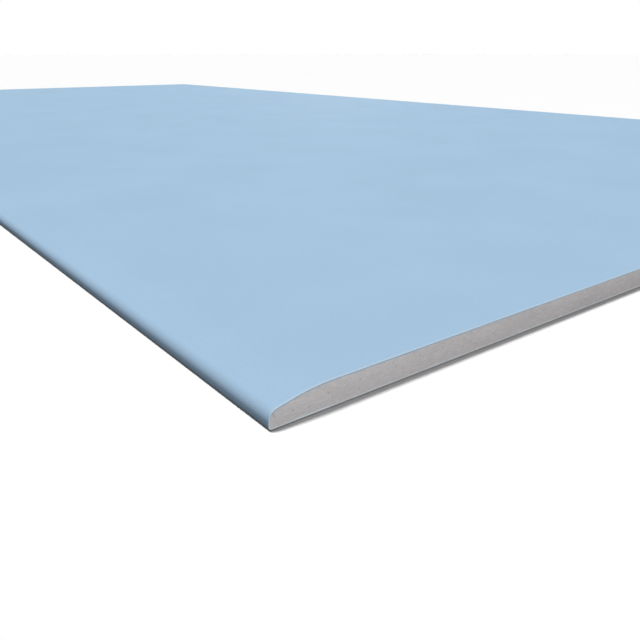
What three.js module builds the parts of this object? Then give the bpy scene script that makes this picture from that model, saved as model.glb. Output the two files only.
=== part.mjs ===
// A drywall sheet (gypsum board) lying face up: a cast gypsum core between two papers.
// The face paper wraps round both long edges and is folded under the back, where the back paper laps over
// the folds and is pressed in flush with them. The long edges are half-round and tapered, so that joint tape
// and filler finish flush with the face. The two ends are cut square, through core and papers together.
//
// Millimetres, +Z up. X runs across the sheet, Y along it. The origin is under the middle of the sheet, on
// the plane it lies on.

import * as THREE from "three";

// The sheet
const SHEET_WIDTH = 1250;
const SHEET_LENGTH = 2500;
const SHEET_THICKNESS = 12.5;

// The long edge, as the outside of the paper has it
const TAPER_WIDTH = 32; // from the edge to where the face reaches full thickness
const TAPER_DEPTH = 4.7; // how far the taper's slope has dropped where it would meet the edge
const SHOULDER_RADIUS = 92; // the soft bend between the slope and the flat face
const NOSE_RADIUS = 5.5; // the half-round front, between the slope and the upright of the edge
const BACK_CORNER_RADIUS = 1.5; // the paper's turn from the edge to the back

// The papers
const FACE_PAPER = 0.4;
const BACK_PAPER = 0.35;
const BACK_MARGIN = 12; // from the long edge to the back paper's edge, where the fold steps up over it
const LAP_WIDTH = 18; // how far the back paper is glued over the fold

const ARC_STEPS = 8; // three.js divides each arc into twice as many chords

const FACE_BLUE = 0xa7c5df;
const BACK_BLUE = 0xa3c1db;
const GYPSUM_GREY = 0xc6c2c1;

const halfWidth = SHEET_WIDTH / 2;
const foldWidth = BACK_MARGIN + LAP_WIDTH;

// The shoulder can be no rounder than one arc that takes up the whole taper, down to where the nose starts.
const roundestShoulder = (TAPER_WIDTH ** 2 + TAPER_DEPTH ** 2 - NOSE_RADIUS ** 2) / (2 * TAPER_DEPTH);
const shoulderRadius = Math.min(SHOULDER_RADIUS, roundestShoulder);

// The slope is the tangent from the foot of the taper, on the edge, to the shoulder's arc.
const taperAngle =
  Math.asin(shoulderRadius / Math.hypot(TAPER_WIDTH, shoulderRadius - TAPER_DEPTH)) -
  Math.atan2(shoulderRadius - TAPER_DEPTH, TAPER_WIDTH);

// The nose touches the upright and the slope, and starts no lower than the back corner's arc ends.
const slopeFoot = SHEET_THICKNESS - TAPER_DEPTH;
const noseDropPerRadius = 1 / Math.cos(taperAngle) - Math.tan(taperAngle);
const noseRadius = Math.min(NOSE_RADIUS, (slopeFoot - BACK_CORNER_RADIUS) / noseDropPerRadius);
const noseHeight = slopeFoot - noseRadius * noseDropPerRadius;

// Half a section of the face paper, at a depth below its outside: from the end of the fold over the back paper,
// down the step at that paper's edge, round the left edge and up the taper to the flat face. At the paper's
// own thickness it is the core's surface.
function edgeLine(depth) {
  const step = BACK_MARGIN - depth - halfWidth;
  const line = new THREE.Path();
  line.moveTo(foldWidth - halfWidth, BACK_PAPER + depth);
  line.lineTo(step, BACK_PAPER + depth);
  line.lineTo(step, depth);
  line.lineTo(BACK_CORNER_RADIUS - halfWidth, depth);
  line.absarc(
    BACK_CORNER_RADIUS - halfWidth,
    BACK_CORNER_RADIUS,
    BACK_CORNER_RADIUS - depth,
    -Math.PI / 2,
    -Math.PI,
    true,
  );
  line.absarc(
    noseRadius - halfWidth,
    noseHeight,
    noseRadius - depth,
    Math.PI,
    Math.PI / 2 + taperAngle,
    true,
  );
  line.absarc(
    TAPER_WIDTH - halfWidth,
    SHEET_THICKNESS - shoulderRadius,
    shoulderRadius - depth,
    Math.PI / 2 + taperAngle,
    Math.PI / 2,
    true,
  );
  return line.getPoints(ARC_STEPS);
}

// The whole section at that depth: the left edge, across the face and round the right edge, its mirror image.
function wrapLine(depth) {
  const left = edgeLine(depth);
  const right = left.map((point) => new THREE.Vector2(-point.x, point.y)).reverse();
  return [...left, ...right];
}

// The core fills the face paper's wrap. Under the back it is stepped in by the thickness of the folds.
function coreSection() {
  const foldEnd = halfWidth - foldWidth;
  return [
    ...wrapLine(FACE_PAPER),
    new THREE.Vector2(foldEnd, BACK_PAPER),
    new THREE.Vector2(-foldEnd, BACK_PAPER),
  ];
}

function facePaperSection() {
  return [...wrapLine(0), ...wrapLine(FACE_PAPER).reverse()];
}

function backPaperSection() {
  const side = halfWidth - BACK_MARGIN;
  return [
    new THREE.Vector2(-side, 0),
    new THREE.Vector2(side, 0),
    new THREE.Vector2(side, BACK_PAPER),
    new THREE.Vector2(-side, BACK_PAPER),
  ];
}

// The board runs off the line as one endless strip, so each piece is its section drawn out to the length.
function drawnOut(name, section, color, roughness) {
  const geometry = new THREE.ExtrudeGeometry(new THREE.Shape(section), {
    depth: SHEET_LENGTH,
    bevelEnabled: false,
  });
  const material = new THREE.MeshStandardMaterial({ color, roughness, metalness: 0 });
  const mesh = new THREE.Mesh(geometry, material);
  mesh.name = name;
  return mesh;
}

// The sections are drawn upright, so a quarter turn about X lays the length along Y.
const sheet = new THREE.Group();
sheet.rotation.x = Math.PI / 2;
sheet.position.y = SHEET_LENGTH / 2;
sheet.add(
  drawnOut("gypsum_core", coreSection(), GYPSUM_GREY, 0.95),
  drawnOut("face_paper", facePaperSection(), FACE_BLUE, 0.85),
  drawnOut("back_paper", backPaperSection(), BACK_BLUE, 0.9),
);

const drywallSheet = new THREE.Group();
drywallSheet.add(sheet);

export default drywallSheet;
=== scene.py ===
import math
import random

import bpy
import numpy as np
from bpy.props import FloatProperty, FloatVectorProperty, IntProperty, PointerProperty
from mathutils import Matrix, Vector, noise


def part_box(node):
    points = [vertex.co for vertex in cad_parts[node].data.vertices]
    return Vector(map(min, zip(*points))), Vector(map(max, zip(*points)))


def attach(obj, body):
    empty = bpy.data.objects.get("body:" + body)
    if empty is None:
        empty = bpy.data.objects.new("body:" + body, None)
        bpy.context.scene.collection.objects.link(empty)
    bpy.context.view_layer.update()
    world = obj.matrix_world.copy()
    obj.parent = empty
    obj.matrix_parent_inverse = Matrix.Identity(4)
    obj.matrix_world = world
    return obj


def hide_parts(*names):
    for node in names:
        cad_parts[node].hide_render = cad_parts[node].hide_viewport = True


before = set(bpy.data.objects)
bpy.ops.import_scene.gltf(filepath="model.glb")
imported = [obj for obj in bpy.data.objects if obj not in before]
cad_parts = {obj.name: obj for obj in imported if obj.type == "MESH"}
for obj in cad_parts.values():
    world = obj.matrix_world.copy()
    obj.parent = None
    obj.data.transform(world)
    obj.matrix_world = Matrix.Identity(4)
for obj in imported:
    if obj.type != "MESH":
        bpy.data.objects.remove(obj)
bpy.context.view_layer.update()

bl_info = {
    "name": "Drywall Sheet",
    "version": (1, 0, 0),
    "blender": (4, 5, 0),
    "location": "3D View > Sidebar > Drywall",
    "description": "Dresses a gypsum board: its foamed core, its two papers and a plain stage",
    "category": "Add Mesh",
}

# Metres, +Z up. X runs across the sheet and Y along it. The sheet lies face up, its back at Z 0.
MM = 0.001

face_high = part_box("face_paper")[1]
core_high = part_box("gypsum_core")[1]
back_low, back_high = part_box("back_paper")

HALF_WIDTH = face_high.x
HALF_LENGTH = face_high.y
THICKNESS = face_high.z
FACE_PAPER = face_high.z - core_high.z  # how thick each paper is
BACK_PAPER = back_high.z - back_low.z
BACK_HALF_WIDTH = back_high.x


# ---- What a user would change ----


def linear_colour(hex_code):
    """An sRGB colour as six hex digits, turned to the linear red, green and blue of a shader."""
    channels = [int(hex_code[i : i + 2], 16) / 255 for i in (0, 2, 4)]
    return tuple(c / 12.92 if c <= 0.04045 else ((c + 0.055) / 1.055) ** 2.4 for c in channels)


def length(name, description, millimetres):
    return FloatProperty(
        name=name, description=description, default=millimetres * MM, min=0, unit="LENGTH"
    )


def colour(name, description, hex_code):
    return FloatVectorProperty(
        name=name,
        description=description,
        default=linear_colour(hex_code),
        subtype="COLOR",
        min=0,
        max=1,
    )


def fraction(name, description, default):
    return FloatProperty(
        name=name, description=description, default=default, min=0, max=1, subtype="FACTOR"
    )


class SheetEdge(bpy.types.PropertyGroup):
    """The long edge's half-round and tapered profile, and the lap on the back"""

    taper_width: length("Taper width", "From the edge to where the face is at full thickness", 32)
    taper_depth: length(
        "Taper depth", "How far the slope has dropped where it would meet the edge", 4.7
    )
    shoulder_radius: length(
        "Shoulder radius", "The soft bend between the slope and the flat face", 92
    )
    nose_radius: length(
        "Nose radius", "The half-round front between the slope and the upright", 5.5
    )
    back_corner_radius: length(
        "Back corner radius", "The paper's turn from the edge to the back", 1.5
    )
    lap_width: length(
        "Lap width", "How far the back paper is glued over the fold of the face paper", 18
    )


class CutEnd(bpy.types.PropertyGroup):
    """How the knife has left the two ends"""

    core_recess: length("Core recess", "How far the crumbled core stays behind the papers", 0.15)
    core_roughness: length("Core roughness", "How far the torn grain stands out or lies back", 0.09)
    grain_size: length("Grain size", "How high a torn mark is; the blade drags it longer", 1.6)
    bubble_count: IntProperty(
        name="Bubbles", description="Large air bubbles cut on each end", default=420, min=0
    )
    smallest_bubble: length("Smallest bubble", "The radius of the smallest modelled bubble", 0.6)
    largest_bubble: length("Largest bubble", "The radius of the largest modelled bubble", 1.3)
    paper_rounding: length(
        "Paper rounding", "How far the blade has pressed the face paper's cut edge round", 0.15
    )
    # the scuff along the cut is partly a painted highlight of the face paper's rounded cut edge
    scuff_and_highlight_width: length(
        "Scuff width", "How far from the cut the face's dyed ply is rubbed pale", 1.8
    )
    skin_depth: length("Skin depth", "The dense gypsum that is cast against each paper", 0.4)
    seed: IntProperty(name="Seed", description="Which bubbles and grain", default=7, min=0)


class SheetColours(bpy.types.PropertyGroup):
    """The colours of the core and the papers"""

    face_blue: colour("Face blue", "The face paper's dyed outer ply", "A7C5DF")
    back_blue: colour("Back blue", "The back paper's dyed outer ply", "A3C1DB")
    # pale blue for the paler fibres, and for the scuff along the cut, which is partly a painted
    # highlight
    pale_blue_and_highlight: colour("Scuffed blue", "The dyed ply, rubbed along the cut", "B5CCDF")
    # the pressed plies' dark grey-blue is partly painted shade under the face paper's cut edge
    pressed_plies_and_shade: colour("Pressed plies", "A paper's cut where the blade went in", "8A9DB0")
    torn_plies: colour("Torn plies", "A paper's cut where the blade came out", "D8DDE0")
    gypsum: colour("Gypsum", "The foamed gypsum in the middle of the sheet", "C1BEBF")
    # paler towards each long edge: partly denser gypsum and partly painted light
    hard_edge_and_light: colour("Hard edge", "The denser, paler gypsum along the long edges", "CCC9CA")
    # darker and bluer than the foam: dense skin, and painted shade under the face paper's cut edge
    face_skin_and_shade: colour("Face skin", "The dense gypsum against the face paper", "B8C2CC")
    back_skin: colour("Back skin", "The dense gypsum against the back paper", "D2DADE")


class Studio(bpy.types.PropertyGroup):
    """The floor, the lamps and the surroundings"""

    floor_white: colour("Floor", "The pale floor", "FFFFFF")
    key_light: fraction("Key", "The light on the face from the high lamp on the left", 0.91)
    fill_light: fraction(
        "Fill", "The light on the near corner from the low lamp before it", 0.033
    )
    rim_light: fraction(
        "Rim", "The light on the face from the low lamp behind the far corner", 0.0075
    )
    sky_light: fraction("Sky", "The light on the face from all round", 0.04)


# ---- The section of the board ----

SHORTEST_CHORD = 0.35 * MM
CHORD_PER_RADIUS = 0.01  # how much longer the chords of a larger arc are
FEWEST_CHORDS = 3
PAPER_STEP = 5 * MM  # between a paper's points across the sheet


def arc(centre_x, centre_z, radius, depth, start, end):
    """An arc in the section, at a depth inside its radius. It has as many chords at any depth."""
    chord = SHORTEST_CHORD + CHORD_PER_RADIUS * radius
    count = max(FEWEST_CHORDS, math.ceil(abs(end - start) * radius / chord)) + 1
    angles = np.linspace(start, end, count)
    x = centre_x + (radius - depth) * np.cos(angles)
    z = centre_z + (radius - depth) * np.sin(angles)
    return np.column_stack((x, z))


def underside_line(edge, depth):
    """The left edge's underside at a depth: from the end of the fold over the back paper, down
    the step at that paper's edge, and round the corner to the foot of the upright."""
    corner = edge.back_corner_radius
    fold_end = BACK_HALF_WIDTH - edge.lap_width
    step = -BACK_HALF_WIDTH - depth
    fold = [(-fold_end, BACK_PAPER + depth), (step, BACK_PAPER + depth), (step, depth)]
    turn = arc(corner - HALF_WIDTH, corner, corner, depth, -math.pi / 2, -math.pi)
    return np.vstack((fold, turn))


def upper_line(edge, depth):
    """The left edge's upper side at a depth: from the top of the upright, round the nose and up
    the taper to the flat face."""
    # the shoulder can be no rounder than one arc that takes up the whole taper
    reach = edge.taper_width**2 + edge.taper_depth**2 - edge.nose_radius**2
    shoulder = min(edge.shoulder_radius, reach / (2 * edge.taper_depth))

    # the slope is the tangent from the foot of the taper, on the edge, to the shoulder's arc
    drop = shoulder - edge.taper_depth
    taper = math.asin(shoulder / math.hypot(edge.taper_width, drop))
    taper -= math.atan2(drop, edge.taper_width)

    # the nose touches the upright and the slope, and starts no lower than the back corner ends
    slope_foot = THICKNESS - edge.taper_depth
    drop_per_radius = 1 / math.cos(taper) - math.tan(taper)
    nose = min(edge.nose_radius, (slope_foot - edge.back_corner_radius) / drop_per_radius)
    nose_height = slope_foot - nose * drop_per_radius

    slope = math.pi / 2 + taper
    shoulder_x = edge.taper_width - HALF_WIDTH
    front = arc(nose - HALF_WIDTH, nose_height, nose, depth, math.pi, slope)
    bend = arc(shoulder_x, THICKNESS - shoulder, shoulder, depth, slope, math.pi / 2)
    return np.vstack((front, bend))


def mirrored(line):
    return (line * (-1, 1))[::-1]


def wrap_line(edge, depth, pressed=0):
    """The face paper's whole section at a depth: the left edge, across the face, and round the
    right edge. pressed is how much deeper the upper side is."""
    left = np.vstack((underside_line(edge, depth), upper_line(edge, depth + pressed)))
    return np.vstack((left, mirrored(left)))


def filled(line, pattern):
    """A line with points added along each stretch, as many as its pattern needs to have one every
    few millimetres. Lines that share a pattern get as many points."""
    points = [line[:1]]
    stretches = np.linalg.norm(np.diff(pattern, axis=0), axis=1)
    for a, b, stretch in zip(line[:-1], line[1:], stretches):
        count = max(1, round(stretch / PAPER_STEP))
        points.append(a + (b - a) * np.linspace(0, 1, count + 1)[1:, None])
    return np.vstack(points)


# ---- Pieces and their maps ----

# Each piece has a UV map, laid out for baking its patterns onto one square picture. What shows
# gets nearly all of that picture, and what other pieces hide gets the rest. The sizes of what is
# laid out on the maps are shares of the picture's side.
BAKE_MAP = "OFBake"  # the map's name, for baking
MAP_MARGIN = 0.004
MAP_INNER = 1 - 2 * MAP_MARGIN


def distances(points):
    """How far along a line each of its points is, as a share of the line's length."""
    along = np.cumsum(np.linalg.norm(np.diff(points, axis=0), axis=1))
    return np.concatenate(([0], along / along[-1]))


def grid_quads(grid):
    """The four corners of each quad of a grid, whatever the grid holds at its points."""
    corners = (grid[:-1, :-1], grid[1:, :-1], grid[1:, 1:], grid[:-1, 1:])
    return np.stack(corners, axis=2).reshape(-1, 4, *grid.shape[2:])


def laid_out(u, v):
    """The places on a map of the quads between rows at each v, with their points at each u."""
    return grid_quads(np.stack(np.meshgrid(u, v), axis=-1))


def new_piece(name, points, faces, corner_places, materials, face_materials, sharp_from):
    """A mesh object from arrays of points, of faces and of their corners' places on the map,
    smooth except at bends of that angle and sharper ones."""
    mesh = bpy.data.meshes.new(name)
    mesh.from_pydata(points, [], faces.tolist())
    mesh.uv_layers.new(name=BAKE_MAP).uv.foreach_set("vector", corner_places.ravel())
    for material in materials:
        mesh.materials.append(material)
    mesh.polygons.foreach_set("material_index", face_materials)
    mesh.shade_smooth()
    mesh.set_sharp_from_angle(angle=sharp_from)
    mesh.validate()
    piece = bpy.data.objects.new(name, mesh)
    bpy.context.scene.collection.objects.link(piece)
    return piece


# ---- The papers ----

ROWS_NEAR_CUT = (1 * MM, 6 * MM, 30 * MM)  # from the cut to a paper's rows of points
MIDDLE_ROWS = 24
MIDDLE_START = 100 * MM  # from the cut to the first of the evenly spaced rows
WANDER = 0.1 * MM  # how far the blade strays into the sheet
WANDER_LENGTH = 25 * MM  # across the sheet, between one stray and the next
WANDER_REACH = 6 * MM  # how far from the cut a paper's points still follow the blade
BETWEEN_CUTS = 3  # in the noise, so that the two cuts differ
PAPER_CORNER = math.radians(40)  # a bend from this on shows as a corner

MAP_OUTSIDE = 0.93  # of a paper's map across, and the hidden inside has the rest
MAP_LONG_EDGE = 0.01  # of the map across, for each of the paper's long edges
MAP_CUT = 0.01  # of the map upwards, for each of the paper's cut ends
MAP_RUBBED = 0.14  # of the map upwards, which is given to what lies near the cuts
RUBBED_REACH = 15 * MM  # from a cut: within it most of that is given out


def row_places(cut_end):
    """Where the papers' rows of points are along the sheet: close together at the cut ends."""
    near = np.array([0, cut_end.paper_rounding, *ROWS_NEAR_CUT])
    middle = np.linspace(MIDDLE_START, 2 * HALF_LENGTH - MIDDLE_START, MIDDLE_ROWS)
    return np.concatenate((near, middle, (2 * HALF_LENGTH - near)[::-1])) - HALF_LENGTH


def blade_wander(x, side):
    """How far the blade has strayed into the sheet at a place across it, at one of the ends."""
    return (0.5 + 0.5 * noise.noise(Vector((x / WANDER_LENGTH, BETWEEN_CUTS * side, 0)))) * WANDER


def ring_faces(ring, row):
    """The quads between one ring of points and the next."""
    a = np.arange(ring)
    b = (a + 1) % ring
    near, far = row * ring, (row + 1) * ring
    return np.column_stack((near + a, near + b, far + b, far + a))


def paper_map(outside, places):
    """The places on the map of a paper's corners: its section drawn out from the lowest row to
    the highest, with its cut ends below and above."""
    across = distances(outside)
    inside = np.linspace(MAP_OUTSIDE + MAP_LONG_EDGE, 1 - MAP_LONG_EDGE, len(outside))
    around = np.concatenate((MAP_OUTSIDE * across, inside, [1]))
    from_cut = HALF_LENGTH - np.abs(places)
    rubbed = 1 - np.exp(-from_cut / RUBBED_REACH)
    from_end = MAP_RUBBED * rubbed + (1 - MAP_RUBBED) * from_cut / HALF_LENGTH
    along = 0.5 + 0.5 * np.sign(places) * (1 - from_end)

    lowest = MAP_MARGIN + MAP_CUT + MAP_MARGIN
    drawn = laid_out(MAP_MARGIN + MAP_INNER * around, lowest + (1 - 2 * lowest) * along)
    near_end = laid_out(MAP_MARGIN + MAP_INNER * across, (MAP_MARGIN + MAP_CUT, MAP_MARGIN))
    far_end = near_end[:, ::-1] * (-1, 1) + (1, MAP_INNER - MAP_CUT)
    drawn = drawn[:, (0, 3, 2, 1)]  # the way that ring_faces goes round a quad
    return np.vstack((drawn, near_end, far_end))


def drawn_paper(name, outside, inside, rounded, materials, cut_end):
    """A paper: its section drawn out along the sheet, with the blade's wander and rounding at its
    cut ends.

    outside, inside and rounded are lines of as many points: the paper's two faces, and its
    outside where the blade has pressed it in. The first material is for the outside, and the
    second for the cut ends and the inside."""
    places = row_places(cut_end)
    rings = []
    for row, place in enumerate(places):
        at_end = row in (0, len(places) - 1)
        section = np.vstack((rounded if at_end else outside, inside[::-1]))
        into_sheet = -np.sign(place)
        wander = [blade_wander(x, into_sheet) for x in section[:, 0]]
        fade = max(0, 1 - (HALF_LENGTH - abs(place)) / WANDER_REACH)
        y = place + into_sheet * fade * np.array(wander)
        rings.append(np.column_stack((section[:, 0], y, section[:, 1])))

    count = len(outside)
    ring = 2 * count
    drawn = np.vstack([ring_faces(ring, row) for row in range(len(places) - 1)])
    a = np.arange(count - 1)
    near_end = np.column_stack((a, ring - 1 - a, ring - 2 - a, a + 1))
    far_end = near_end[:, ::-1] + ring * (len(places) - 1)
    faces = np.vstack((drawn, near_end, far_end))

    outer = drawn[:, 0] % ring < count - 1
    face_materials = np.concatenate((np.where(outer, 0, 1), np.ones(2 * len(near_end), int)))
    corner_places = paper_map(outside, places)
    points = np.vstack(rings)
    return new_piece(
        name, points, faces, corner_places, materials, face_materials, PAPER_CORNER
    )


# ---- The core ----

END_GRID = 0.6 * MM  # between the points of a torn end
END_ROWS = 20
NOSE_COLUMNS = 16  # closer together, round the front of the nose
NOSE_TURN = math.pi / 3  # how far round they go
STEP_WIDTH = 0.005 * MM  # between the two columns of points that make a square step
THINNEST_SKIN = 0.1  # of the core's height, where that is too little for the skins' whole depth

TORN_FALL, TORN_STEP, TORN_OCTAVES = 0.9, 2.1, 3  # of the fractal that the torn grain follows
TORN_STRETCH = 2  # how much longer than high the torn grain is, because the blade drags it
LEAST_RECESS = 0.02 * MM  # no grain comes closer than this to the papers' cut edges
BOWL_DEPTH = 0.28  # of a bubble's radius, because the blade smears the rim over
BUBBLE_SKEW = 4  # the more it is, the fewer bubbles are large

TORN_CORNER = math.radians(60)  # a bend from this on shows as a corner

MAP_BANDS = 7  # that each end is cut into on the core's map, one above the other
MAP_ENDS = 0.95  # of the map upwards, and the hidden sides have the rest
BAND_FILLED = 0.94  # of a band, so that none touches the next


def core_columns(edge):
    """Places across the core's end, and its lowest and highest point at each."""
    under = underside_line(edge, FACE_PAPER)
    fold_end, step = under[0, 0], under[1, 0]
    under = np.vstack((under[::-1], [(fold_end, BACK_PAPER), (0, BACK_PAPER)]))
    over = np.vstack((upper_line(edge, FACE_PAPER), [(0, THICKNESS - FACE_PAPER)]))

    # close together round the nose, evenly across the sheet, and one on either side of each step
    side = over[0, 0]
    nose = side + edge.nose_radius * (1 - np.cos(np.linspace(0, NOSE_TURN, NOSE_COLUMNS)))
    even = np.arange(nose[-1] + END_GRID, 0, END_GRID)
    steps = [x + gap for x in (step, fold_end) for gap in (-STEP_WIDTH, STEP_WIDTH)]
    half = np.sort(np.concatenate((nose, even, steps)))
    low = np.interp(half, under[:, 0], under[:, 1])
    high = np.interp(half, over[:, 0], over[:, 1])
    return (
        np.concatenate((half, -half[::-1])),
        np.concatenate((low, low[::-1])),
        np.concatenate((high, high[::-1])),
    )


def torn_relief(x, z, cut_end, seed):
    """How far behind the papers' cut edges the gypsum lies, at each point of an end's grid: torn
    grain, and the bowls of the air bubbles that the cut has opened."""
    grain = cut_end.grain_size
    relief = np.empty(x.shape)
    for index in np.ndindex(x.shape):
        point = Vector((x[index] / (TORN_STRETCH * grain), z[index] / grain, seed))
        relief[index] = noise.fractal(point, TORN_FALL, TORN_STEP, TORN_OCTAVES)
    relief = cut_end.core_recess + cut_end.core_roughness * relief

    draws = random.Random(seed)
    places = x[:, 0]
    spread = cut_end.largest_bubble - cut_end.smallest_bubble
    for _ in range(cut_end.bubble_count):
        radius = cut_end.smallest_bubble + spread * draws.random() ** BUBBLE_SKEW
        centre_x = draws.uniform(-HALF_WIDTH, HALF_WIDTH)
        centre_z = draws.uniform(0, THICKNESS)
        first, last = np.searchsorted(places, (centre_x - radius, centre_x + radius))
        across = x[first:last] - centre_x
        upward = z[first:last] - centre_z
        bowl = BOWL_DEPTH * radius * (1 - (across**2 + upward**2) / radius**2)
        relief[first:last] = np.maximum(relief[first:last], cut_end.core_recess + bowl)
    return np.maximum(relief, LEAST_RECESS)


def core_map(x, z, rim):
    """The places on the map of the core's corners: both ends in bands, and the sides above them.

    x and z are those of an end's grid, and rim is the line round it."""
    across = (x + HALF_WIDTH) / (2 * HALF_WIDTH) * MAP_BANDS
    band = ((across[:-1, 0] + across[1:, 0]) / 2).astype(int)
    band = np.repeat(band, END_ROWS)[:, None]
    u = MAP_MARGIN + MAP_INNER * (grid_quads(across) - band)
    v = (band + BAND_FILLED * grid_quads(z) / THICKNESS) * MAP_ENDS / (2 * MAP_BANDS)
    near_end = np.stack((u, v), axis=-1)
    far_end = near_end[:, ::-1] * (-1, 1) + (1, MAP_ENDS / 2)

    around = distances(np.vstack((rim, rim[:1])))
    sides = laid_out(MAP_MARGIN + MAP_INNER * around, (1 - MAP_MARGIN, MAP_ENDS + MAP_MARGIN))
    return np.vstack((near_end, far_end, sides))


def cast_core(edge, cut_end, materials):
    """The core: two torn ends, each with a dense skin along its top, darker partly as painted shade
    under the face paper's cut edge, and along its foot, and plain sides that the papers hide. The
    materials are for the foam, the face's skin and the back's skin."""
    places, low, high = core_columns(edge)
    skin = np.minimum(cut_end.skin_depth, THINNEST_SKIN * (high - low))
    rows = np.linspace(0, 1, END_ROWS - 1)
    foam = (low + skin)[:, None] + (high - low - 2 * skin)[:, None] * rows
    z = np.column_stack((low, foam, high))
    x = np.repeat(places[:, None], END_ROWS + 1, axis=1)

    ends = []
    for side in (-1, 1):
        y = side * (HALF_LENGTH - torn_relief(x, z, cut_end, cut_end.seed + side))
        ends.append(np.stack((x, y, z), axis=-1).reshape(-1, 3))

    index = np.arange(x.size).reshape(x.shape)
    near_end = grid_quads(index)
    far_end = near_end[:, ::-1] + x.size
    rim = np.concatenate((index[:, 0], index[-1, 1:], index[-2::-1, -1], index[0, -2:0:-1]))
    rim_next = np.roll(rim, -1)
    sides = np.column_stack((rim, rim + x.size, rim_next + x.size, rim_next))

    row = np.arange(len(near_end)) % END_ROWS
    end_materials = np.select((row == END_ROWS - 1, row == 0), (1, 2), 0)
    face_materials = np.concatenate((end_materials, end_materials, np.zeros(len(sides), int)))
    corner_places = core_map(x, z, ends[0][rim])
    points = np.vstack(ends)
    faces = np.vstack((near_end, far_end, sides))
    return new_piece(
        "gypsum_core_cast",
        points,
        faces,
        corner_places,
        materials,
        face_materials,
        TORN_CORNER,
    )


# ---- Materials ----


def add_node(tree, kind, inputs=None, **settings):
    """Adds a node with its own settings. Each input is a value, an output of another node, or
    another node, which stands for the first output that it shows."""
    node = tree.nodes.new(kind)
    for name, value in settings.items():
        setattr(node, name, value)
    for socket, value in (inputs or {}).items():
        if isinstance(value, bpy.types.Node):
            value = next(output for output in value.outputs if output.enabled)
        if isinstance(value, bpy.types.NodeSocket):
            tree.links.new(value, node.inputs[socket])
        else:
            node.inputs[socket].default_value = value
    return node


def new_material(name):
    material = bpy.data.materials.new(name)
    material.use_nodes = True
    material.node_tree.nodes.clear()
    return material, material.node_tree


def per_metre(millimetres):
    """The scale of a pattern whose features are that far apart."""
    return 1 / (millimetres * MM)


def shaded(rgb, factor):
    """A colour made darker or lighter by a factor, as a shader's four numbers."""
    return (*(min(1, c * factor) for c in rgb), 1)


# Heights on a cut, between which the blade has gone from pressing the paper to tearing it. Above
# them the cut paper is darkened partly by painted shade under the face paper, and the face is
# lightened along the cut partly by a painted highlight.
TORN_BELOW = 5 * MM
PRESSED_SHADE_ABOVE = 7.5 * MM


def high_on_cut(tree, place):
    """1 high on the sheet, where the blade went in and pressed the paper, and where the cut paper
    is darkened partly by painted shade and the face lightened partly by a painted highlight, and 0
    low on it, where the blade tore it."""
    height = add_node(tree, "ShaderNodeSeparateXYZ", {"Vector": place}).outputs["Z"]
    return add_node(
        tree,
        "ShaderNodeMapRange",
        {"Value": height, "From Min": TORN_BELOW, "From Max": PRESSED_SHADE_ABOVE},
        interpolation_type="SMOOTHSTEP",
    )


PAPER_ROUGHNESS = 0.95
PAPER_IOR = 1.5
PAPER_CLOUD_MM = 120
FIBRE_MM = 0.5  # fibres are far under 0.1 mm wide: they are drawn this wide, so that they show
FIBRE_STRETCH = 5  # how much longer than wide: that is 2.5 mm, as long as real ones
FIBRE_CONTRAST = 0.18
FIBRE_SHARE = 0.3  # of the fibres in the paper's colour, and the clouds have the rest
PALE_FIBRE_START, PALE_FIBRE_FULL = 0.58, 0.68  # where in the fibres' pattern one turns pale
PALE_FIBRE_SHARE = 0.5  # of the scuffed colour in a pale fibre
SCUFF_AND_HIGHLIGHT_FULL = 0.4  # of the scuff's width, from the cut to where it and its painted highlight are at their palest


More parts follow.
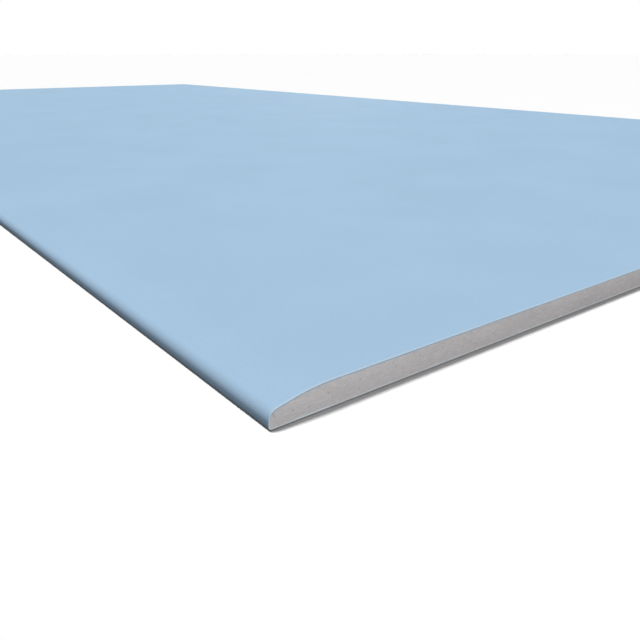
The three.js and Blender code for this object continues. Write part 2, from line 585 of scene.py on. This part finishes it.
def paper_material(name, rgb, pale_and_highlight, scuff_and_highlight_width, mottle, fibre_relief):
    """Multi-ply board paper, made on a cylinder machine from recycled fibre, the outer ply dyed,
    and pressed smooth between rolls. It gives an even, dull colour with faint clouds where the
    fibre lies thicker, short fibres along the sheet that show only close to, a few of them paler
    because they took up less dye, a pale line high on a cut, where the blade has rubbed it and
    where it is painted with the highlight of the cut's rounded edge, and next to no gloss."""
    material, tree = new_material(name)
    place = add_node(tree, "ShaderNodeTexCoord").outputs["Object"]
    clouds = add_node(
        tree,
        "ShaderNodeTexNoise",
        {"Vector": place, "Scale": per_metre(PAPER_CLOUD_MM), "Detail": 4, "Roughness": 0.6},
    )
    clouded = add_node(
        tree,
        "ShaderNodeMix",
        {"Factor": clouds, "A": shaded(rgb, 1 - mottle), "B": shaded(rgb, 1 + mottle)},
        data_type="RGBA",
    )

    lengthwise = (1, 1 / FIBRE_STRETCH, 1)
    along = add_node(tree, "ShaderNodeMapping", {"Vector": place, "Scale": lengthwise})
    fibres = add_node(
        tree,
        "ShaderNodeTexNoise",
        {"Vector": along, "Scale": per_metre(FIBRE_MM), "Detail": 3, "Roughness": 0.65},
    )
    dark_fibre, light_fibre = shaded(rgb, 1 - FIBRE_CONTRAST), shaded(rgb, 1 + FIBRE_CONTRAST)
    fibrous = add_node(
        tree,
        "ShaderNodeMix",
        {"Factor": fibres, "A": dark_fibre, "B": light_fibre},
        data_type="RGBA",
    )
    matted = add_node(
        tree,
        "ShaderNodeMix",
        {"Factor": FIBRE_SHARE, "A": clouded, "B": fibrous},
        data_type="RGBA",
    )
    half_dyed = add_node(
        tree,
        "ShaderNodeMix",
        {"Factor": PALE_FIBRE_SHARE, "A": matted, "B": (*pale_and_highlight, 1)},
        data_type="RGBA",
    )
    pale = add_node(
        tree,
        "ShaderNodeMapRange",
        {"Value": fibres, "From Min": PALE_FIBRE_START, "From Max": PALE_FIBRE_FULL},
        interpolation_type="SMOOTHSTEP",
    )
    dyed = add_node(
        tree, "ShaderNodeMix", {"Factor": pale, "A": matted, "B": half_dyed}, data_type="RGBA"
    )

    # rubbed pale along the cut, where the blade went in, and painted with the highlight of the
    # cut's rounded edge, high on the sheet only
    along_sheet = add_node(tree, "ShaderNodeSeparateXYZ", {"Vector": place}).outputs["Y"]
    from_middle = add_node(tree, "ShaderNodeMath", {0: along_sheet}, operation="ABSOLUTE")
    scuff_highlight_start, scuff_highlight_full = HALF_LENGTH - scuff_and_highlight_width, HALF_LENGTH - SCUFF_AND_HIGHLIGHT_FULL * scuff_and_highlight_width
    near_cut = add_node(
        tree,
        "ShaderNodeMapRange",
        {"Value": from_middle, "From Min": scuff_highlight_start, "From Max": scuff_highlight_full},
        interpolation_type="SMOOTHSTEP",
    )
    # the pale scuff with its painted highlight, on the face and high on the sheet only
    rubbed = add_node(
        tree, "ShaderNodeMath", {0: near_cut, 1: high_on_cut(tree, place)}, operation="MULTIPLY"
    )
    outer_ply = add_node(
        tree, "ShaderNodeMix", {"Factor": rubbed, "A": dyed, "B": (*pale_and_highlight, 1)}, data_type="RGBA"
    )

    relief = add_node(
        tree, "ShaderNodeBump", {"Height": fibres, "Distance": fibre_relief, "Strength": 1}
    )
    paper = add_node(
        tree,
        "ShaderNodeBsdfPrincipled",
        {
            "Base Color": outer_ply,
            "Roughness": PAPER_ROUGHNESS,
            "IOR": PAPER_IOR,
            "Specular IOR Level": 0.05,
            "Normal": relief,
        },
    )
    add_node(tree, "ShaderNodeOutputMaterial", {"Surface": paper})
    return material


FUZZ_MM = 0.6  # torn fibres are 0.1 to 0.3 mm wide: they are drawn this wide, so that they show
FUZZ_HEIGHT = 0.05 * MM
TORN_CONTRAST = 0.08
PRESSED_SHADE_CONTRAST = 0.1


def cut_paper_material(name, pressed, torn):
    """The same paper where the blade has cut it. At the face, where the blade goes in, it presses
    the dyed ply over the cut, and lower down it tears the undyed plies. It gives a dull grey-blue
    line over the core, darkened partly by painted shade under the face paper's edge, and a pale,
    fuzzy one beside and below it."""
    material, tree = new_material(name)
    place = add_node(tree, "ShaderNodeTexCoord").outputs["Object"]
    fuzz = add_node(
        tree, "ShaderNodeTexNoise", {"Vector": place, "Scale": per_metre(FUZZ_MM), "Detail": 2}
    )
    # 1 high on the cut, where the dark pressed colour and its painted shade go
    blade = high_on_cut(tree, place)
    plies = []
    for tone in (-1, 1):
        torn_tone = shaded(torn, 1 + tone * TORN_CONTRAST)
        pressed_shade_tone = shaded(pressed, 1 + tone * PRESSED_SHADE_CONTRAST)
        plies.append(
            add_node(
                tree,
                "ShaderNodeMix",
                {"Factor": blade, "A": torn_tone, "B": pressed_shade_tone},
                data_type="RGBA",
            )
        )
    fuzzy = add_node(
        tree, "ShaderNodeMix", {"Factor": fuzz, "A": plies[0], "B": plies[1]}, data_type="RGBA"
    )
    relief = add_node(tree, "ShaderNodeBump", {"Height": fuzz, "Distance": FUZZ_HEIGHT})
    paper = add_node(
        tree,
        "ShaderNodeBsdfPrincipled",
        {
            "Base Color": fuzzy,
            "Roughness": PAPER_ROUGHNESS,
            "IOR": PAPER_IOR,
            "Specular IOR Level": 0.1,
            "Normal": relief,
        },
    )
    add_node(tree, "ShaderNodeOutputMaterial", {"Surface": paper})
    return material


HARD_EDGE_LIGHT_WIDTH = 250 * MM  # over which a long edge's denser gypsum and painted light turn into the rest
HEIGHT_SHADE = 0.065  # painted shade: how much paler the gypsum is painted at the face, and darker at the back
DRAG_STRETCH = 4  # how much longer than high the clouds and the grain are dragged by the blade
GYPSUM_CLOUD_MM = 8
GYPSUM_GRAIN_MM = 0.9  # it is 0.05 to 0.2 mm wide: it is drawn this wide, so that it shows
GRAIN_HEIGHT = 0.15 * MM
GRAIN_SHARE = 0.5  # of the grain in the gypsum's unevenness, and the clouds have the rest
DARK_CLOUD, LIGHT_CLOUD = (0.8, 0.8, 0.8, 1), (1.2, 1.2, 1.2, 1)
DARK_GRAIN, LIGHT_GRAIN = (0.52, 0.52, 0.52, 1), (1.48, 1.48, 1.48, 1)

# The marks on the gypsum, from the lowest layer up. Whole crystals are pale flecks, dragged like
# the grain. Air bubbles, 0.1 to 1 mm wide, are pin-holes darkened by painted shade in their
# hollows, apart from the larger, modelled ones. For each: how far apart they are in millimetres,
# where a mark ends and where plain gypsum starts as shares of that, how much paler a mark is
# (below 0 for the bubbles' painted shade), and how deep in millimetres.
MARKS = (
    ("crystals", 1.5, 0.12, 0.3, 0.2, 0),
    ("small bubbles", 1, 0.05, 0.3, -0.12, 0.05),
    ("middling bubbles", 3.2, 0.05, 0.16, -0.15, 0.2),
)


def gypsum_material(name, rgb, edge_rgb_and_light, air):
    """Gypsum plaster, foamed, cast between the papers and torn by the blade once it has set. It
    gives a chalky grey without any gloss, in soft clouds, with pin-holes of cut air bubbles
    darkened by painted shade, pale flecks of whole crystals, and short streaks where the blade
    dragged it. Along the long edges it is paler, partly because the slurry is poured denser there
    and partly as painted light, and it is darker towards the back and paler towards the face as
    painted shade. air is how much of the foam is left: none in the dense skin."""
    material, tree = new_material(name)
    place = add_node(tree, "ShaderNodeTexCoord").outputs["Object"]
    axes = add_node(tree, "ShaderNodeSeparateXYZ", {"Vector": place}).outputs
    from_middle = add_node(tree, "ShaderNodeMath", {0: axes["X"]}, operation="ABSOLUTE")
    # paler near the long edges: denser gypsum, and painted light
    near_edge = add_node(
        tree,
        "ShaderNodeMapRange",
        {"Value": from_middle, "From Min": HALF_WIDTH - HARD_EDGE_LIGHT_WIDTH, "From Max": HALF_WIDTH},
        interpolation_type="SMOOTHSTEP",
    )
    # painted shade: the end is darker towards its foot and paler towards the face
    height = add_node(
        tree,
        "ShaderNodeMapRange",
        {"Value": axes["Z"], "From Min": 0, "From Max": THICKNESS},
        interpolation_type="SMOOTHSTEP",
    )
    levels = []
    for tone in (1 - HEIGHT_SHADE, 1 + HEIGHT_SHADE):
        levels.append(
            add_node(
                tree,
                "ShaderNodeMix",
                {"Factor": near_edge, "A": shaded(rgb, tone), "B": shaded(edge_rgb_and_light, tone)},
                data_type="RGBA",
            )
        )
    shaded_by_height = add_node(
        tree, "ShaderNodeMix", {"Factor": height, "A": levels[0], "B": levels[1]}, data_type="RGBA"
    )

    crosswise = (1 / DRAG_STRETCH, 1, 1)
    dragged = add_node(tree, "ShaderNodeMapping", {"Vector": place, "Scale": crosswise})
    clouds = add_node(
        tree,
        "ShaderNodeTexNoise",
        {"Vector": dragged, "Scale": per_metre(GYPSUM_CLOUD_MM), "Detail": 3},
    )
    grain = add_node(
        tree,
        "ShaderNodeTexNoise",
        {"Vector": dragged, "Scale": per_metre(GYPSUM_GRAIN_MM), "Detail": 4, "Roughness": 0.7},
    )
    clouded = add_node(
        tree,
        "ShaderNodeMix",
        {"Factor": clouds, "A": DARK_CLOUD, "B": LIGHT_CLOUD},
        data_type="RGBA",
    )
    streaked = add_node(
        tree,
        "ShaderNodeMix",
        {"Factor": grain, "A": DARK_GRAIN, "B": LIGHT_GRAIN},
        data_type="RGBA",
    )
    uneven = add_node(
        tree,
        "ShaderNodeMix",
        {"Factor": GRAIN_SHARE, "A": clouded, "B": streaked},
        data_type="RGBA",
    )
    cut = add_node(
        tree,
        "ShaderNodeMix",
        {"Factor": 1, "A": shaded_by_height, "B": uneven},
        data_type="RGBA",
        blend_type="MULTIPLY",
    )
    relief = add_node(
        tree, "ShaderNodeBump", {"Height": grain, "Distance": GRAIN_HEIGHT, "Strength": 1}
    )

    for kind, spacing, mark_end, plain_start, paler, depth in MARKS:
        vector = dragged if kind == "crystals" else place
        cells = add_node(
            tree, "ShaderNodeTexVoronoi", {"Vector": vector, "Scale": per_metre(spacing)}
        )
        around = add_node(
            tree,
            "ShaderNodeMapRange",
            {"Value": cells, "From Min": mark_end, "From Max": plain_start},
            interpolation_type="SMOOTHSTEP",
        )
        # a bubble's darker colour is painted shade in its hollow
        mark = shaded(rgb, 1 + paler * air)
        cut = add_node(
            tree, "ShaderNodeMix", {"Factor": around, "A": mark, "B": cut}, data_type="RGBA"
        )
        if depth:
            deep = depth * air * MM
            relief = add_node(
                tree,
                "ShaderNodeBump",
                {"Height": around, "Distance": deep, "Strength": 1, "Normal": relief},
            )

    gypsum = add_node(
        tree,
        "ShaderNodeBsdfPrincipled",
        {
            "Base Color": cut,
            "Roughness": 1,
            "IOR": 1.52,
            "Specular IOR Level": 0.1,
            "Normal": relief,
        },
    )
    add_node(tree, "ShaderNodeOutputMaterial", {"Surface": gypsum})
    return material


# ---- The stage ----

FLOOR_RADIUS = 40  # metres, so that its edge is out of sight
FLOOR_GAP = 0.4 * MM  # the sheet's cut edges have a burr, and it bears on that
FLOOR_GLOW = 0.02  # what the floor shines by itself, which brings it up to white
FLOOR_BOUNCE = 0.03  # how much light the floor throws back on the sheet

# Towards each lamp, from the sheet
KEY_DIRECTION = Vector((-0.12, 0.3, 1))
FILL_DIRECTION = Vector((-0.2, -1, 0.05))
RIM_DIRECTION = Vector((0.8, 1, 0.03))

KEY_SOFTNESS = math.radians(15)  # how wide a far lamp looks from the sheet
RIM_SOFTNESS = math.radians(3)
FILL_DISTANCE = 3  # metres, near enough to fade along the sheet
FILL_WIDTH = 0.28

# The camera, from the sheet's near left corner on the floor
CAMERA_FROM_CORNER = Vector((-118.58, -186.83, 136.6)) * MM
CAMERA_AZIMUTH = math.radians(-37.578)
CAMERA_ELEVATION = math.radians(22.19)
CAMERA_LENS_MM = 36.9
SENSOR_WIDTH_MM = 36


def seen_directly(tree):
    """1 where a camera, glossy or transmission ray looks, and 0 for rays that light the sheet."""
    path = add_node(tree, "ShaderNodeLightPath").outputs
    seen = path["Is Camera Ray"]
    for ray in ("Is Glossy Ray", "Is Transmission Ray"):
        seen = add_node(tree, "ShaderNodeMath", {0: seen, 1: path[ray]}, operation="MAXIMUM")
    return seen


def floor_material(rgb):
    """A matt white paper roll. The camera sees it white, with the sheet's soft shadow on it, and
    to the sheet it is dim, so that little light comes from below."""
    material, tree = new_material("studio_paper_roll")
    glow = add_node(tree, "ShaderNodeEmission", {"Color": (*rgb, 1), "Strength": FLOOR_GLOW})
    lit = add_node(tree, "ShaderNodeBsdfDiffuse", {"Color": (*rgb, 1)})
    seen = add_node(tree, "ShaderNodeAddShader", {0: glow, 1: lit})
    dim = add_node(tree, "ShaderNodeBsdfDiffuse", {"Color": shaded(rgb, FLOOR_BOUNCE)})
    both = add_node(tree, "ShaderNodeMixShader", {0: seen_directly(tree), 1: dim, 2: seen})
    add_node(tree, "ShaderNodeOutputMaterial", {"Surface": both})
    material.cycles.emission_sampling = "NONE"
    return material


def lay_floor(rgb):
    signs = ((-1, -1), (1, -1), (1, 1), (-1, 1))
    corners = [(x * FLOOR_RADIUS, y * FLOOR_RADIUS, -FLOOR_GAP) for x, y in signs]
    mesh = bpy.data.meshes.new("studio_floor")
    mesh.from_pydata(corners, [], [(0, 1, 2, 3)])
    mesh.materials.append(floor_material(rgb))
    floor = bpy.data.objects.new("studio_floor", mesh)
    bpy.context.scene.collection.objects.link(floor)


def hang_lamp(lamp, direction, location):
    """Puts a lamp in its place, out of the camera's sight, with its light against a direction."""
    holder = bpy.data.objects.new(lamp.name, lamp)
    holder.location = location
    holder.rotation_mode = "QUATERNION"
    holder.rotation_quaternion = direction.to_track_quat("Z", "Y")
    holder.visible_camera = False
    bpy.context.scene.collection.objects.link(holder)


def add_far_lamp(name, direction, light, softness):
    """A far, soft lamp that gives a level surface that share of the light which shows white."""
    lamp = bpy.data.lights.new(name, "SUN")
    lamp.energy = math.pi * light / direction.normalized().z
    lamp.angle = softness
    hang_lamp(lamp, direction, direction)


def add_near_lamp(name, direction, light, distance, width):
    """A round, soft lamp at a distance from the near left corner, which gives that share there."""
    lamp = bpy.data.lights.new(name, "AREA")
    lamp.shape = "DISK"
    lamp.size = width
    lamp.energy = math.pi**2 * distance**2 * light / direction.normalized().z
    corner = Vector((-HALF_WIDTH, -HALF_LENGTH, 0))
    hang_lamp(lamp, direction, corner + distance * direction.normalized())


def light_surroundings(light):
    """White to the camera, and a dim even light on the sheet."""
    world = bpy.data.worlds.new("studio_surroundings")
    bpy.context.scene.world = world
    world.use_nodes = True
    tree = world.node_tree
    tree.nodes.clear()
    white = add_node(tree, "ShaderNodeBackground", {"Color": (1, 1, 1, 1), "Strength": 1})
    dim = add_node(tree, "ShaderNodeBackground", {"Color": (1, 1, 1, 1), "Strength": light})
    both = add_node(tree, "ShaderNodeMixShader", {0: seen_directly(tree), 1: dim, 2: white})
    add_node(tree, "ShaderNodeOutputWorld", {"Surface": both})


def set_camera():
    """Low over the near left corner, looking along the sheet."""
    data = bpy.data.cameras.new("corner_view")
    data.sensor_width = SENSOR_WIDTH_MM
    data.lens = CAMERA_LENS_MM
    data.clip_start = 10 * MM
    data.clip_end = 3 * FLOOR_RADIUS
    camera = bpy.data.objects.new("corner_view", data)
    level = math.cos(CAMERA_ELEVATION)
    backwards = Vector(
        (
            math.sin(CAMERA_AZIMUTH) * level,
            -math.cos(CAMERA_AZIMUTH) * level,
            math.sin(CAMERA_ELEVATION),
        )
    )
    camera.location = Vector((-HALF_WIDTH, -HALF_LENGTH, 0)) + CAMERA_FROM_CORNER
    camera.rotation_mode = "QUATERNION"
    camera.rotation_quaternion = backwards.to_track_quat("Z", "Y")
    bpy.context.scene.collection.objects.link(camera)
    bpy.context.scene.camera = camera


# ---- Operators, panel and registration ----


class DRYWALL_OT_studio(bpy.types.Operator):
    """Set up the pale floor, the soft lamps and the camera"""

    bl_idname = "drywall.studio"
    bl_label = "Studio"

    def execute(self, context):
        studio = context.scene.drywall_studio
        lay_floor(studio.floor_white)
        add_far_lamp("key_lamp", KEY_DIRECTION, studio.key_light, KEY_SOFTNESS)
        add_far_lamp("rim_lamp", RIM_DIRECTION, studio.rim_light, RIM_SOFTNESS)
        add_near_lamp("fill_lamp", FILL_DIRECTION, studio.fill_light, FILL_DISTANCE, FILL_WIDTH)
        light_surroundings(studio.sky_light)
        set_camera()
        context.scene.view_settings.view_transform = "Standard"
        return {"FINISHED"}


class DRYWALL_OT_gypsum_core(bpy.types.Operator):
    """Cast the gypsum core, with its cut ends"""

    bl_idname = "drywall.gypsum_core"
    bl_label = "Gypsum Core"

    def execute(self, context):
        scene = context.scene
        colours = scene.drywall_colours
        face_skin_and_shade, back_skin = colours.face_skin_and_shade, colours.back_skin
        materials = [
            gypsum_material("gypsum_foamed_cast", colours.gypsum, colours.hard_edge_and_light, air=1),
            # the face skin's colour is partly painted shade under the face paper's cut edge
            gypsum_material("gypsum_dense_face_skin", face_skin_and_shade, face_skin_and_shade, air=0),
            gypsum_material("gypsum_dense_back_skin", back_skin, back_skin, air=0),
        ]
        core = cast_core(scene.drywall_edge, scene.drywall_cut_end, materials)
        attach(core, "root")
        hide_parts("gypsum_core")
        return {"FINISHED"}


class DRYWALL_OT_face_paper(bpy.types.Operator):
    """Wrap the face paper over the face and round both long edges"""

    bl_idname = "drywall.face_paper"
    bl_label = "Face Paper"

    def execute(self, context):
        scene = context.scene
        edge, cut_end, colours = scene.drywall_edge, scene.drywall_cut_end, scene.drywall_colours
        materials = [
            paper_material(
                "face_paper_pressed_blue",
                colours.face_blue,
                colours.pale_blue_and_highlight,
                cut_end.scuff_and_highlight_width,
                mottle=0.08,
                fibre_relief=0.03 * MM,
            ),
            cut_paper_material("face_paper_cut", colours.pressed_plies_and_shade, colours.torn_plies),
        ]
        outside = wrap_line(edge, 0)
        paper = drawn_paper(
            "face_paper_wrap",
            filled(outside, outside),
            filled(wrap_line(edge, FACE_PAPER), outside),
            filled(wrap_line(edge, 0, pressed=cut_end.paper_rounding), outside),
            materials,
            cut_end,
        )
        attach(paper, "root")
        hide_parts("face_paper")
        return {"FINISHED"}


class DRYWALL_OT_back_paper(bpy.types.Operator):
    """Lay the back paper over the back and the folds of the face paper"""

    bl_idname = "drywall.back_paper"
    bl_label = "Back Paper"

    def execute(self, context):
        scene = context.scene
        cut_end, colours = scene.drywall_cut_end, scene.drywall_colours
        materials = [
            paper_material(
                "back_paper_pressed_blue",
                colours.back_blue,
                colours.pale_blue_and_highlight,
                cut_end.scuff_and_highlight_width,
                mottle=0.06,
                fibre_relief=0.05 * MM,
            ),
            cut_paper_material("back_paper_cut", colours.pressed_plies_and_shade, colours.torn_plies),
        ]
        across = np.array([(BACK_HALF_WIDTH, 0), (-BACK_HALF_WIDTH, 0)])
        outside = filled(across, across)
        inside = outside + (0, BACK_PAPER)
        paper = drawn_paper("back_paper_lapped", outside, inside, outside, materials, cut_end)
        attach(paper, "root")
        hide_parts("back_paper")
        return {"FINISHED"}


class DRYWALL_PT_sheet(bpy.types.Panel):
    """The sheet's sizes, colours, pieces and stage"""

    bl_label = "Drywall Sheet"
    bl_space_type = "VIEW_3D"
    bl_region_type = "UI"
    bl_category = "Drywall"

    def draw(self, context):
        for group in GROUPS:
            box = self.layout.box()
            settings = getattr(context.scene, group)
            for name in settings.bl_rna.properties.keys():
                if name not in ("rna_type", "name"):
                    box.prop(settings, name)
        for operator in OPERATORS:
            self.layout.operator(operator.bl_idname)


GROUPS = {
    "drywall_edge": SheetEdge,
    "drywall_cut_end": CutEnd,
    "drywall_colours": SheetColours,
    "drywall_studio": Studio,
}
OPERATORS = (
    DRYWALL_OT_studio,
    DRYWALL_OT_gypsum_core,
    DRYWALL_OT_face_paper,
    DRYWALL_OT_back_paper,
)


def register():
    for cls in (*GROUPS.values(), *OPERATORS, DRYWALL_PT_sheet):
        bpy.utils.register_class(cls)
    for name, group in GROUPS.items():
        setattr(bpy.types.Scene, name, PointerProperty(type=group))


def unregister():
    for name in GROUPS:
        delattr(bpy.types.Scene, name)
    for cls in (DRYWALL_PT_sheet, *reversed(OPERATORS), *reversed(GROUPS.values())):
        bpy.utils.unregister_class(cls)


def main():
    register()
    bpy.ops.drywall.studio()
    bpy.ops.drywall.gypsum_core()
    bpy.ops.drywall.face_paper()
    bpy.ops.drywall.back_paper()


if __name__ == "__main__":
    main()
